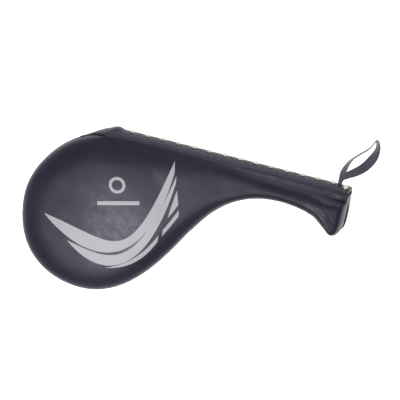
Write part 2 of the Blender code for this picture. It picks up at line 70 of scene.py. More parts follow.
# The leaf's section.
HEAD_HEIGHT, GRIP_HEIGHT = 0.0240, 0.0185
HEAD_ROUNDING, GRIP_ROUNDING, BUTT_ROUNDING = 0.034, 0.0145, 0.0085
EDGE_HEIGHT = 0.003
SPINE_FOOT, SPINE_FOOT_SPAN = 0.0122, (-0.040, -0.012)  # the edge is higher beside the spine
HEAD_ENDS, GRIP_STARTS = 0.060, 0.150
GRIP_ENDS, BUTT_STARTS = 0.232, 0.268
BUTT_SPAN = (0.262, 0.280)
CROWN_POWER = 2.2
CROWN_DROP, CROWN_SPREAD = 0.0024, 0.100  # how far the head's crown falls from its middle
BULGE_REACH, WALL_POWER = 1.15, 2.4
SOFTNESS, LEAST_SOFTNESS, SOFTNESS_SPAN = 0.0035, 0.0003, (0.0, 0.006)

# The leather's unevenness all over, and its folds over the neck and the butt.
UNEVEN_SCALE, UNEVEN_HEIGHT, UNEVEN_SEED = 22, 0.00035, 3
FOLD_SCALE, FOLD_DEPTH, FOLD_SEED, FOLD_OCTAVES = 150, 0.0004, 5, 3
FOLD_WAY, FOLD_STRETCH = (0.55, 0.85), 0.22
BUTT_FOLDS_SPAN, BUTT_FOLDS_END_SPAN = (0.225, 0.262), (0.276, 0.285)
NECK_FOLDS_X, NECK_FOLDS_SPREAD, NECK_FOLDS_SHARE = 0.120, 0.045, 0.35

# The leaf's mesh: points along its edge, and the middle line that its rows run to.
HEAD_POINTS, BUTT_POINTS, STATION_STEP = 220, 56, 0.0028
TIP_X = 0.2790
HEAD_MIDDLE_X, HEAD_CROWDING = -0.0260, 0.6
HEAD_EASE, LEVEL_EASE = 0.09, 0.04
MIDDLE_DECIMALS = 5
BUTT_PULL, BUTT_PULL_X = 0.006, 0.24
CROWN_ROWS, CROWN_CROWDING, CREASE_SPAN = 44, 1.75, (0.0, 0.12)

# The leaf's rim, and its wall under the band.
RIM_HEIGHT, RIM_WIDTH, RIM_LIP = 0.0006, 0.0015, 0.0012
RIM_ROLL = ((0.0006, -0.0001), (0.0001, 0.0006))  # how far in and up the rows that round the rim's corner lie
EDGE_SHARE = 0.6
WALL_TOP, SHELF_HEIGHT, SHELF_WIDTH = 0.0100, 0.0109, 0.0012
WALL_SPAN, WALL_END_SPAN = (-0.0120, -0.0030), (0.2800, 0.2860)
UNDER_BAND = 0.0112  # the radius of the leather where it runs under the band
GROOVE_STEP, GROOVE_LIP, LIP_DROP = 0.0003, 0.0002, 0.0005
BAND_GAP = 0.0001
BACK_OVERHANG = 0.0012  # the back leaf's butt stands out past the front one's
BACK_LOW_SPAN, BACK_TOP_SPAN = (-0.051, -0.045), (-0.025, -0.008)

# The spine band, whose section is a rounded strip about the hinge line.
BAND_OUTER = 0.0127
BAND_THICKNESS = 0.0012
SPINE_REACH = 0.0076
SPINE_POWER = 2.3
SPINE_START_X, SPINE_END_X = -0.061, 0.2850
# Where the band's edge lies on each leaf: (x, y) of the groove between the two.
GROOVE = (
    (-0.024, -0.0006), (0.000, 0.0010), (0.045, 0.0025), (0.105, 0.0016), (0.135, -0.0012),
    (0.165, -0.0043), (0.190, -0.0058), (0.240, -0.0070), (0.285, -0.0086),
)
GROOVE_SAMPLES, GROOVE_WINDOW = 120, 15
THIN_SCALE, THIN_SPAN = 0.20, (-0.056, -0.022)  # the band's thin start, and where it grows from it
THIN_LEATHER = 0.45
BAND_STATIONS, SECTION_POINTS, FLAT_POINTS = 420, 34, 6
BACK_INSET = 0.0006
END_TUCK, END_PLUG = 2, (0.0012, 0.0004)  # points left out of the filling at the band's end, and its insets

# The band's relief: the folded-over end, puckers, dimples under the rivets, folds, seam channel and edges.
LUMP_X, LUMP_HEIGHT, LUMP_SPREAD = -0.0145, 0.0030, 0.0062
LUMP_SIDES, LUMP_POWER = (0.85, 1.35), 2.8
LUMP_ACROSS, LUMP_ACROSS_POWER = 0.0075, 4
PUCKER_HEIGHT, PUCKER_SPREAD = 0.0007, 0.0062
PUCKER_RUN_IN, PUCKER_RUN_OUT = 0.010, 0.006
DIMPLE_DEPTH, DIMPLE_LENGTH, DIMPLE_WIDTH = 0.0006, 0.0036, 0.0042
BAND_FOLDS = ((0.30, 330, 8, 3, 0.00022), (1.0, 120, 9, 2, 0.00018))  # stretch, scale, seed, octaves, height
SEAM_INSET = 0.0020
CHANNEL_DEPTH, CHANNEL_WIDTH = 0.00028, 0.0006
ROLLED_DEPTH, ROLLED_WIDTH = 0.0005, 0.00035
TUCK, TUCK_WIDTH, TUCK_SPAN = (0.0042, 0.0036), 0.0016, (-0.034, -0.024)

RIVETS = 15
FIRST_RIVET_X, RIVET_PITCH, LAST_PITCH = 0.0030, 0.0200, 0.0164
CAP_RADIUS, CAP_HEIGHT = 0.0036, 0.0021
PIERCED_Y, CAP_STANDOFF = 0.0072, 0.0004
LAST_LEAN, LAST_RIVET_Z = 34, 0.0045
CAP_TILT, CAP_LEAN, CAP_UNEVEN, CAP_SIDES = 9, 3, 0.05, 40
# The cap's profile in shares of its radius and height: a small dent, the dome, the rolled rim and the shank.
CAP_PROFILE = (
    (0.0, 0.90), (0.16, 0.92), (0.34, 0.99), (0.55, 0.97), (0.74, 0.84), (0.88, 0.62), (0.97, 0.36),
    (1.0, 0.16), (0.98, 0.0), (0.60, -0.18), (0.30, -0.45), (0.0, -0.45),
)

# Stitches. A seam holds its stitches' pitch, the gap between two of them and the thread's width.
STITCH_RINGS, STITCH_SIDES = 9, 8
STITCH_POWER, STITCH_END, STITCH_DIVE = 3.0, 0.12, 0.55
BAND_SEAM, BAND_SEAM_ENDS, BAND_SEAM_SAMPLES = (0.0034, 0.0009, 0.00062), (-0.040, 0.2815), 420
BAND_SEAM_SINK, BAND_SEAM_TURN = 0.00008, 0.9
RIM_SEAM, RIM_SEAM_INSET = (0.0046, 0.0012, 0.0007), 0.0042
RIM_SEAM_TOP, RIM_SEAM_HEIGHT, RIM_SEAM_BREAK = -0.006, 0.00055, 0.02
TACK_STITCHES, TACK_X, TACK_STEP, TACK_SLANT = 17, 0.2705, 0.00042, 0.0009
TACK_TOP, TACK_BOTTOM, TACK_UNEVEN, TACK_RISE, TACK_WIDTH = -0.0020, -0.0060, 0.0016, 0.0001, 0.00050

# The strap's route from one end of the ribbon to the other: x, y, z, width and twist out of flat in degrees.
STRAP_ROUTE = (
    (0.2706, 0.0058, -0.0012, 0.0050, 0),
    (0.2706, 0.0150, -0.0020, 0.0056, 6),
    (0.2710, 0.0225, -0.0060, 0.0080, 28),
    (0.2738, 0.0320, -0.0125, 0.0098, 62),
    (0.2790, 0.0400, -0.0165, 0.0105, 85),
    (0.2870, 0.0480, -0.0178, 0.0110, 90),
    (0.2945, 0.0555, -0.0178, 0.0110, 90),
    (0.2990, 0.0625, -0.0178, 0.0110, 90),
    (0.3010, 0.0672, -0.0178, 0.0110, 90),
    (0.3040, 0.0672, -0.0178, 0.0110, 88),
    (0.3055, 0.0595, -0.0180, 0.0110, 66),
    (0.3030, 0.0475, -0.0200, 0.0115, 30),
    (0.2985, 0.0375, -0.0222, 0.0115, 4),
    (0.2930, 0.0297, -0.0200, 0.0112, 0),
    (0.2850, 0.0238, -0.0130, 0.0105, 0),
    (0.2765, 0.0198, -0.0050, 0.0085, 0),
    (0.2715, 0.0150, -0.0002, 0.0058, 0),
    (0.2706, 0.0058, 0.0012, 0.0050, 0),
)
STRAP_THICKNESS = 0.0014
STRAP_SECTIONS = 190
# The ribbon's section: how square it is, its ribs and its thicker selvedges.
RIBBON_SIDES, RIBBON_WIDE_POWER, RIBBON_THIN_POWER, RIBBON_BODY = 24, 0.35, 0.7, 0.82
RIB_HEIGHT, RIB_TURN, RIB_REACH = 0.04, 2.1, 0.9
SELVEDGE_HEIGHT, SELVEDGE_IN, SELVEDGE_OUT = 0.18, 0.70, 0.93

# The generic print: the upper and the lower edge of each sweep and blade, as a curve's control points.
SWEEPS = (
    (((-0.084, -0.116), (0.014, -0.129), (0.032, -0.169), (0.066, -0.009)),
     ((-0.084, -0.116), (-0.022, -0.166), (0.055, -0.171), (0.069, -0.023))),
    (((-0.049, -0.143), (0.013, -0.156), (0.042, -0.164), (0.072, -0.027)),
     ((-0.049, -0.143), (-0.001, -0.182), (0.058, -0.174), (0.073, -0.036))),
    (((0.005, -0.166), (0.034, -0.156), (0.052, -0.133), (0.064, -0.107)),
     ((0.005, -0.166), (0.037, -0.161), (0.055, -0.138), (0.064, -0.116))),
)
BLADES = (
    (((0.071, -0.083), (0.073, -0.064), (0.076, -0.045)),
     ((0.071, -0.083), (0.076, -0.074), (0.081, -0.063))),
    (((0.068, -0.099), (0.076, -0.085), (0.083, -0.069)),
     ((0.068, -0.108), (0.077, -0.093), (0.084, -0.077))),
)
SWEEP_GRID, BLADE_GRID, BAR_GRID, RING_GRID = (14, 90), (6, 30), (6, 60), (6, 72)
RING_CENTRE, RING_OUTER, RING_INNER = np.array((0.001, -0.057)), 0.0106, 0.0068
BAR_HALF_LENGTH, BAR_TOP, BAR_BOTTOM = 0.027, -0.0205, -0.0255
INK_HEIGHT, INK_DEPTH = 0.00012, 0.0003

# The camera: its direction, the spine's direction in its view and that direction's slope in the picture.
CAMERA_WAY = np.array((0.174, 0.337, 0.925))
IMAGE_SPINE = np.array((0.985, -0.059, -0.163))
SPINE_SLOPE = radians(14.3)
CAMERA_DISTANCE, CLIP_START, SENSOR_WIDTH = 6.00, 0.05, 36
VIEW_WIDTH = 0.4958
VIEW_CENTRE = (0.1026, -0.0569, 0.0)

# The studio. A mirrored lamp has the spot that it lights, its distance, its size and its power.
FLOOR_SIZE, FLOOR_DROP, FLOOR_GLOW = 8, 0.0002, 0.9
WORLD_STRENGTH = 0.66
MIRRORED_LAMPS = {
    "key": ((-0.062, -0.008, 0.047), 0.50, (0.14, 0.06), 1.65),
    "fill": ((0.125, 0.065, 0.040), 0.55, (0.20, 0.16), 0.6),
}
BACK_LAMP_SPOT, BACK_LAMP_WAY = (-0.05, 1.30, 0.50), (0.05, 1.20, 0.45)
BACK_LAMP_SIZE, BACK_LAMP_POWER = (0.8, 0.8), 7.0


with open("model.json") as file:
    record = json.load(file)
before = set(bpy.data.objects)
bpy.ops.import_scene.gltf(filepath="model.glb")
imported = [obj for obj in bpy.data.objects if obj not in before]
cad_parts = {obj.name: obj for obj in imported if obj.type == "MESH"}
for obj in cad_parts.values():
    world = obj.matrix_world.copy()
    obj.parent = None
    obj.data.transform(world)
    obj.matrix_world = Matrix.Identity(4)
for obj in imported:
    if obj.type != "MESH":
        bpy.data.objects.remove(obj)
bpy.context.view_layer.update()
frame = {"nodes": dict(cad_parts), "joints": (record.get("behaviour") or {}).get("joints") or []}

hinge = next(joint for joint in frame["joints"] if joint["name"] == "leaf_open")
first_low, first_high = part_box("rivet_01")
ORIGIN = np.array(((first_low.x + first_high.x) / 2 - FIRST_RIVET_X, hinge["pos_m"][1], hinge["pos_m"][2]))


# ---------------------------------------------------------------- placing and building


def place(points, side=0):
    """Leaf-frame points in the row frame. side is 1 on the front leaf, -1 on the back one, 0 on the spine."""
    points = np.array(points, float)
    if side == -1:
        points = points * (1, 1, -1)
    if side == 1:
        c, s = cos(REST_OPENING), sin(REST_OPENING)
        points = points @ np.array(((1, 0, 0), (0, c, -s), (0, s, c)))
    return points + ORIGIN


def mesh_object(name, points, faces, finish, sharp_degrees=60):
    data = bpy.data.meshes.new(name)
    data.from_pydata([tuple(p) for p in points], [], faces)
    data.validate()
    data.materials.append(finish)
    data.shade_smooth()
    data.set_sharp_from_angle(angle=radians(sharp_degrees))
    made = bpy.data.objects.new(name, data)
    bpy.context.collection.objects.link(made)
    return made


def grid_faces(rows, columns, closed=False, flip=False):
    """Quads between rows of points that are stored one row after another."""
    faces = []
    for r in range(rows - 1):
        for c in range(columns if closed else columns - 1):
            d = (c + 1) % columns
            quad = (r * columns + c, r * columns + d, (r + 1) * columns + d, (r + 1) * columns + c)
            faces.append(quad[::-1] if flip else quad)
    return faces


def tube_faces(rings, columns, base=0, flip=True):
    """A tube through rings of points, with a cap at each end."""
    first = tuple(range(columns))
    last = tuple((rings - 1) * columns + c for c in reversed(first))
    faces = grid_faces(rings, columns, closed=True, flip=flip)
    faces += [first, last] if flip else [first[::-1], last[::-1]]
    return [tuple(base + i for i in face) for face in faces]


def smooth_step(value, low, high):
    share = np.clip((np.asarray(value, float) - low) / (high - low), 0, 1)
    return share * share * (3 - 2 * share)


def mix(a, b, share):
    return a + (b - a) * share


def bell(value, reach, power=2):
    """1 where the value is 0, fading to nothing a little past the reach."""
    return np.exp(-(np.abs(value / reach) ** power))


def rounding(share):
    left = 1 - np.clip(share, 0, 1)
    return (1 - left**CROWN_POWER) ** (1 / CROWN_POWER)


def soft_least(a, b, softness):
    """The smaller of two surfaces, with the crease between them rounded."""
    near = np.clip(0.5 + 0.5 * (b - a) / softness, 0, 1)
    return mix(b, a, near) - softness * near * (1 - near)


def field(points, scale, seed, octaves=2):
    """Smooth noise at each point, about -1 to 1."""
    offset = Vector([seed * step for step in SEED_STEP])
    return np.array([
        noise.fractal(Vector(p) * scale + offset, 1.0, 2.0, octaves) for p in points
    ])


# ---------------------------------------------------------------- the leaf's surface


def bezier(start, start_handle, end_handle, end):
    t = np.linspace(0, 1, SPAN_POINTS, endpoint=False)[:, None]
    outer = (1 - t) ** 3 * start + t**3 * end
    return outer + 3 * t * (1 - t) ** 2 * start_handle + 3 * t * t * (1 - t) * end_handle


def direction(angle):
    return np.array((cos(angle), sin(angle)))


def straight_handles(start, end):
    return [mix(start, end, share) for share in HANDLE_SHARES]


def leaf_outline():
    along_x, along_y = np.array((1, 0)), np.array((0, 1))
    neck_way, flare_way = direction(NECK_SLOPE), direction(-FLARE_SLOPE)
    top, left_up, left_down, bottom = HEAD_REACHES
    head, neck_in, neck_out, grip_in = NECK_REACHES
    grip_out, flare_in = GRIP_REACHES
    spans = [
        bezier(SPINE_START, SPINE_START - top * along_x, HEAD_LEFT + left_up * along_y, HEAD_LEFT),
        bezier(HEAD_LEFT, HEAD_LEFT - left_down * along_y, HEAD_BOTTOM - bottom * along_x, HEAD_BOTTOM),
        bezier(HEAD_BOTTOM, HEAD_BOTTOM + head * along_x, NECK - neck_in * neck_way, NECK),
        bezier(NECK, NECK + neck_out * neck_way, GRIP - grip_in * along_x, GRIP),
        bezier(GRIP, GRIP + grip_out * along_x, FLARE_START - flare_in * flare_way, FLARE_START),
        bezier(FLARE_START, *straight_handles(FLARE_START, FLARE_TIP), FLARE_TIP),
        bezier(FLARE_TIP, mix(FLARE_TIP, TIP_ROUNDING, 0.5), TIP_ROUNDING, BUTT_LOW),
        bezier(BUTT_LOW, *straight_handles(BUTT_LOW, BUTT_TOP), BUTT_TOP),
        BUTT_TOP[None, :],
    ]
    return np.concatenate(spans)


OUTLINE = leaf_outline()


def edge_distance(points):
    """How far each point is from the leaf's outline."""
    start, end = OUTLINE[:-1:2], OUTLINE[2::2]
    span = end - start
    offset = points[:, None, :] - start[None, :, :]
    share = np.clip((offset * span).sum(2) / np.maximum((span * span).sum(1), TINY), 0, 1)
    nearest = start + share[:, :, None] * span
    return np.linalg.norm(points[:, None, :] - nearest, axis=2).min(axis=1)


def groove_y(x):
    """The y of the band's edge, through the groove's points with no corners."""
    knots = np.array(GROOVE)
    fine = np.linspace(knots[0, 0], knots[-1, 0], GROOVE_SAMPLES)
    line = np.interp(fine, knots[:, 0], knots[:, 1])
    kernel = np.hanning(GROOVE_WINDOW) / np.hanning(GROOVE_WINDOW).sum()
    line = np.convolve(np.pad(line, GROOVE_WINDOW // 2, mode="edge"), kernel, mode="valid")
    return np.interp(x, fine, line)


def head_lift(x):
    """How far the head's edge, which the band follows, is off the spine's line before that line starts."""
    top = OUTLINE[:SPAN_POINTS + 1][::-1]
    return np.where(x < SPINE_START[0], np.interp(x, top[:, 0], top[:, 1]), 0)


def band_share(x):
    """How much of the spine's full section there is: 0 at the band's thin start, 1 from the lump on."""
    return smooth_step(x, *THIN_SPAN)


def band_scale(x):
    """The size of the band's section at x, as a share of the full one."""
    return mix(THIN_SCALE, 1.0, band_share(x))


def arc_height(y, radius):
    """The height at y of a round strip about the hinge line."""
    return np.sqrt(radius**2 - np.clip(y, 0, SPINE_REACH) ** 2)


def leaf_height(points, side):
    """The height of the leaf's moulded leather above the hinge plane."""
    x, y = points[:, 0], points[:, 1]
    past_head = smooth_step(x, HEAD_ENDS, GRIP_STARTS)
    in_grip = past_head - smooth_step(x, GRIP_ENDS, BUTT_STARTS)
    full = mix(HEAD_HEIGHT, GRIP_HEIGHT, in_grip)
    from_middle = np.hypot(x - HEAD_BOTTOM[0], y - HEAD_LEFT[1]) / CROWN_SPREAD
    full = full - CROWN_DROP * (side > 0) * np.minimum(from_middle, 1) ** 2 * (1 - past_head)
    reach = mix(HEAD_ROUNDING, GRIP_ROUNDING, past_head)
    reach = mix(reach, BUTT_ROUNDING, smooth_step(x, *BUTT_SPAN))
    at_spine = band_share(x) * smooth_step(y, *SPINE_FOOT_SPAN) * (x < GRIP_STARTS)
    foot = mix(EDGE_HEIGHT, SPINE_FOOT, at_spine)
    free = foot + (full - foot) * rounding(edge_distance(points) / reach)
    depth = groove_y(x) - y
    wall = mix(full, arc_height(y, BAND_OUTER) - BAND_GAP, band_share(x))
    rise = 1 - (1 - np.clip(depth / (BULGE_REACH * reach), 0, 1)) ** WALL_POWER
    at_wall = wall + (full - wall) * rise
    softness = SOFTNESS * smooth_step(depth, *SOFTNESS_SPAN) + LEAST_SOFTNESS
    return soft_least(free, at_wall, softness)


def creases(points):
    """Small wrinkles where the leather was pulled over the neck and the butt, and an unevenness all over."""
    x, y = points[:, 0], points[:, 1]
    level = np.zeros_like(x)
    uneven = field(np.column_stack((x, y, level)), UNEVEN_SCALE, UNEVEN_SEED) * UNEVEN_HEIGHT
    a, b = FOLD_WAY
    turned = np.column_stack((x * a + y * b, (y * a - x * b) * FOLD_STRETCH, level))
    folds = np.abs(field(turned, FOLD_SCALE, FOLD_SEED, FOLD_OCTAVES))
    near_butt = smooth_step(x, *BUTT_FOLDS_SPAN) * (1 - smooth_step(x, *BUTT_FOLDS_END_SPAN))
    near_neck = bell(x - NECK_FOLDS_X, NECK_FOLDS_SPREAD) * NECK_FOLDS_SHARE
    return uneven - folds * FOLD_DEPTH * (near_butt + near_neck)


def spread(points, count):
    """Points at an equal pitch along a line of 2-D points."""
    steps = np.r_[0, np.cumsum(np.linalg.norm(np.diff(points, axis=0), axis=1))]
    at = np.linspace(0, steps[-1], count)
    return np.stack((np.interp(at, steps, points[:, 0]), np.interp(at, steps, points[:, 1])), axis=1)


def leaf_plan():
    """The leaf's edge points in order round it, and the point of its middle line that each looks at."""
    split = int(np.argmin(OUTLINE[:, 1]))
    tip = int(np.argmax(OUTLINE[:, 0] > TIP_X))
    x_start, x_last = SPINE_START[0], OUTLINE[tip, 0]
    stations = np.linspace(x_start, x_last, int((x_last - x_start) / STATION_STEP) + 1)
    low = np.interp(stations, OUTLINE[split:tip + 1, 0], OUTLINE[split:tip + 1, 1])
    high = np.full_like(stations, SPINE_START[1])
    crossing = split + int(np.argmax(OUTLINE[split:, 0] >= x_start))
    around = spread(np.vstack((OUTLINE[:crossing], [[x_start, low[0]]])), HEAD_POINTS + 1)
    ending = spread(np.vstack((OUTLINE[tip:], [[x_last, high[-1]]])), BUTT_POINTS)
    middle = np.stack((stations, (low + high) / 2), axis=1)
    middle[:, 0] = mix(middle[:, 0], middle[:, 0] - BUTT_PULL, smooth_step(stations, BUTT_PULL_X, x_last))
    eased = smooth_step(stations, x_start, x_start + HEAD_EASE)
    middle[:, 0] = mix(HEAD_MIDDLE_X + (stations - x_start) * HEAD_CROWDING, middle[:, 0], eased)
    middle[:, 1] = mix(middle[0, 1], middle[:, 1], smooth_step(stations, x_start, x_start + LEVEL_EASE))
    points = np.vstack((
        around[:-1], np.stack((stations, low), 1)[:-1], ending[:-1], np.stack((stations, high), 1)[::-1][:-1],
    ))
    targets = np.vstack((
        np.tile(middle[0], (len(around) - 1, 1)), middle[:-1],
        np.tile(middle[-1], (len(ending) - 1, 1)), middle[::-1][:-1],
    ))
    return points, targets


def leaf_rows(side):
    """Rows of points from the inside of the rim, up the edge and over the crown to the middle line."""
    points, targets = leaf_plan()
    span = targets - points
    way = span / np.linalg.norm(span, axis=1)[:, None]
    x, y_wall = points[:, 0], points[:, 1]

    def row(plan, z):
        return np.column_stack((plan, np.broadcast_to(z, len(points))))

    inner = points + way * RIM_WIDTH
    rim_rows = [row(inner, RIM_HEIGHT + RIM_LIP), row(inner, RIM_HEIGHT)]
    free_rows = rim_rows + [row(points + way * inwards, RIM_HEIGHT + up) for inwards, up in RIM_ROLL]
    free_rows.append(row(points, mix(RIM_HEIGHT, leaf_height(points, side), EDGE_SHARE)))

    scale = band_scale(x)
    y_groove = groove_y(x) * scale
    low_arc = arc_height(y_groove + GROOVE_STEP, UNDER_BAND) * scale
    lip = arc_height(y_groove, BAND_OUTER) * scale
    y_groove = y_groove + head_lift(x)
    wall_y = np.minimum(y_wall, SPINE_START[1])
    shelf_y = np.minimum(wall_y, y_groove) - SHELF_WIDTH
    spine_rows = rim_rows + [
        row(np.column_stack((x, wall_y)), WALL_TOP * scale),
        row(np.column_stack((x, shelf_y)), SHELF_HEIGHT * scale),
        row(np.column_stack((x, y_groove + GROOVE_STEP)), low_arc - BAND_GAP),
    ]
    share = band_share(x) * smooth_step(y_wall, *WALL_SPAN) * (1 - smooth_step(x, *WALL_END_SPAN))
    share = share[:, None]
    rows = [mix(a, b, share) for a, b in zip(free_rows, spine_rows)]

    shares = np.linspace(0, 1, CROWN_ROWS) ** CROWN_CROWDING
    for index, near in enumerate(shares[:-1]):
        free_plan = points + span * near
        start = np.column_stack((x, y_groove + GROOVE_LIP * (index == 0)))
        spine_plan = start + (targets - start) * near
        plan = mix(free_plan, spine_plan, share)
        z = leaf_height(plan, side)
        if index == 0:
            z = mix(z, lip - LIP_DROP, share[:, 0])
        rows.append(row(plan, z + creases(plan) * smooth_step(near, *CREASE_SPAN)))
    if side < 0:
        for r in rows[len(rim_rows):]:
            at_butt = smooth_step(r[:, 0], *BUTT_SPAN) * smooth_step(r[:, 1], *BACK_LOW_SPAN)
            r[:, 0] += BACK_OVERHANG * at_butt * (1 - smooth_step(r[:, 1], *BACK_TOP_SPAN))
    return rows, targets


def make_leaf(prefix, side):
    """One leaf's leather: the rows, and then its middle line, which both of its sides share."""
    rows, targets = leaf_rows(side)
    columns = len(targets)
    middle, index = np.unique(np.round(targets, MIDDLE_DECIMALS), axis=0, return_inverse=True)
    index = index.reshape(-1)
    heights = leaf_height(middle, side) + creases(middle)
    points = np.vstack((*rows, np.column_stack((middle, heights))))
    faces = grid_faces(len(rows), columns, closed=True, flip=side > 0)
    base = len(rows) * columns
    last = base - columns
    for c in range(columns):
        d = (c + 1) % columns
        quad = tuple(dict.fromkeys((last + c, last + d, base + int(index[d]), base + int(index[c]))))
        faces.append(quad[::-1] if side > 0 else quad)
    made = mesh_object(f"{prefix}_leather", place(points, side), faces, COVER_LEATHER, 70)
    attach(made, f"{prefix}_leaf")
    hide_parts(f"{prefix}_cover")


# ---------------------------------------------------------------- materials


class Nodes:
    """A short hand for building a node tree."""

    def __init__(self, name):
        self.material = bpy.data.materials.new(name)
        self.material.use_nodes = True
        self.tree = self.material.node_tree
        self.shader = self.tree.nodes["Principled BSDF"]
        self.coordinates = self.tree.nodes.new("ShaderNodeTexCoord").outputs["Object"]

    def add(self, kind, inputs=(), **settings):
        node = self.tree.nodes.new(kind)
        for key, value in settings.items():
            setattr(node, key, value)
        for socket, value in dict(inputs).items():
            self.set(node.inputs[socket], value)
        return node

    def set(self, socket, value):
        if isinstance(value, bpy.types.NodeSocket):
            self.tree.links.new(value, socket)
        else:
            socket.default_value = value

    def noise(self, scale, detail=3.0, roughness=0.5):
        inputs = {"Vector": self.coordinates, "Scale": scale, "Detail": detail, "Roughness": roughness}
        return self.add("ShaderNodeTexNoise", inputs).outputs["Fac"]

    def cells(self, scale, feature="F1"):
        inputs = {"Vector": self.coordinates, "Scale": scale}
        return self.add("ShaderNodeTexVoronoi", inputs, feature=feature).outputs["Distance"]

    def ramp(self, value, stops):
        node = self.add("ShaderNodeValToRGB", {"Fac": value})
        elements = node.color_ramp.elements
        for element, (position, colour) in zip(elements, (stops[0], stops[-1])):
            element.position, element.color = position, (*colour, 1)
        for position, colour in stops[1:-1]:
            elements.new(position).color = (*colour, 1)
        return node.outputs["Color"]

    def tones(self, value, colour, *steps):
        """Shades of one colour along a value. Each step is a position and a factor."""
        return self.ramp(value, [(position, shade(colour, factor)) for position, factor in steps])

    def spread(self, value, low, high, start=0.0, end=1.0):
        inputs = {"Value": value, "From Min": start, "From Max": end, "To Min": low, "To Max": high}
        return self.add("ShaderNodeMapRange", inputs).outputs["Result"]

    def math(self, operation, a, b):
        return self.add("ShaderNodeMath", {0: a, 1: b}, operation=operation).outputs["Value"]

    def weighed(self, a, weight_a, b, weight_b):
        return self.math("ADD", self.math("MULTIPLY", a, weight_a), self.math("MULTIPLY", b, weight_b))

    def bump(self, height, distance, strength, normal=None):
        inputs = {"Height": height, "Distance": distance, "Strength": strength}
        if normal is not None:
            inputs["Normal"] = normal
        return self.add("ShaderNodeBump", inputs).outputs["Normal"]

    def finish(self, inputs):
        for socket, value in inputs.items():
            self.set(self.shader.inputs[socket], value)
        return self.material


def shade(colour, factor):
    return tuple(c * factor for c in colour)


PEBBLE_SCALE = 950


def leather(name, colour, rough=0.35, grain=1.0, sheen=0.01):
    """Synthetic leather: a fine pebbled grain, patchy gloss and slight scuffs."""
    n = Nodes(name)
    pebbles = n.cells(PEBBLE_SCALE)
    pores = n.math("MULTIPLY", n.cells(scale=2100, feature="F2"), 0.4)
    patches = n.noise(scale=14, detail=4)
    scuffs = n.noise(scale=120, detail=6, roughness=0.7)
    tone = n.weighed(patches, 0.7, scuffs, 0.3)
    grained = n.bump(n.math("ADD", pebbles, pores), distance=0.00010 * grain, strength=0.25)
    return n.finish({
        "Base Color": n.tones(tone, colour, (0.30, 0.78), (0.50, 1.0), (0.72, 1.32)),
        "Roughness": n.spread(n.math("ADD", patches, scuffs), rough - 0.07, rough + 0.10, start=0.7, end=1.3),
        "Normal": n.bump(n.noise(scale=60), distance=0.0003 * grain, strength=0.25, normal=grained),
        "Sheen Weight": sheen, "Sheen Roughness": 0.5, "Specular IOR Level": 0.20,
        "Specular Tint": (0.90, 0.86, 1.0, 1),
    })


def printed(name, colour):
    """Screen print on leather: thin ink that lets the grain show, rubbed away a little in places."""
    n = Nodes(name)
    wear = n.noise(scale=260, detail=5, roughness=0.65)
    tone = n.weighed(wear, 0.6, n.noise(scale=25), 0.4)
    return n.finish({
        "Base Color": n.tones(tone, colour, (0.28, 0.80), (0.45, 1.0), (0.70, 1.07)),
        "Roughness": n.spread(wear, 0.42, 0.62),
        "Normal": n.bump(n.cells(PEBBLE_SCALE), distance=0.00016, strength=0.45),
    })


def metal(name, colour, rough):
    """Nickel plate with handling marks."""
    n = Nodes(name)
    marks = n.noise(scale=420, detail=5, roughness=0.7)
    return n.finish({
        "Base Color": n.tones(n.noise(scale=90), colour, (0.35, 0.72), (0.55, 1.0), (0.75, 1.10)),
        "Metallic": 0.85, "Roughness": n.spread(marks, rough - 0.08, rough + 0.14),
        "Normal": n.bump(marks, distance=0.00012, strength=0.5),
    })


def ribbon_weave(name, colour):
    """A fine woven ribbon: its cells and fuzz, with a slight sheen."""
    n = Nodes(name)
    fuzz = n.noise(scale=900, detail=4, roughness=0.7)
    tone = n.weighed(fuzz, 0.5, n.noise(scale=40), 0.5)
    return n.finish({
        "Base Color": n.tones(tone, colour, (0.32, 0.75), (0.50, 1.0), (0.70, 1.30)),
        "Roughness": n.spread(fuzz, 0.55, 0.75),
        "Normal": n.bump(n.math("ADD", n.cells(scale=1500), fuzz), distance=0.00020, strength=0.6),
        "Sheen Weight": 0.35, "Sheen Roughness": 0.45,
    })


def thread(name, colour):
    n = Nodes(name)
    twist = n.noise(scale=2600, roughness=0.6)
    return n.finish({
        "Base Color": n.tones(twist, colour, (0.35, 0.7), (0.65, 1.2)),
        "Roughness": n.spread(twist, 0.55, 0.8), "Normal": n.bump(twist, distance=0.0001, strength=0.6),
    })


def speckled(name, colour, scale, rough, depth, metallic=0.0):
    """Foam cells, plastic, wood grain or plain steel on the pieces inside."""
    n = Nodes(name)
    grain = n.noise(scale, detail=5, roughness=0.65)
    return n.finish({
        "Base Color": n.tones(grain, colour, (0.30, 0.78), (0.50, 1.0), (0.72, 1.12)),
        "Roughness": n.spread(grain, rough - 0.08, rough + 0.08),
        "Normal": n.bump(n.cells(scale * 3), distance=depth, strength=0.6), "Metallic": metallic,
    })


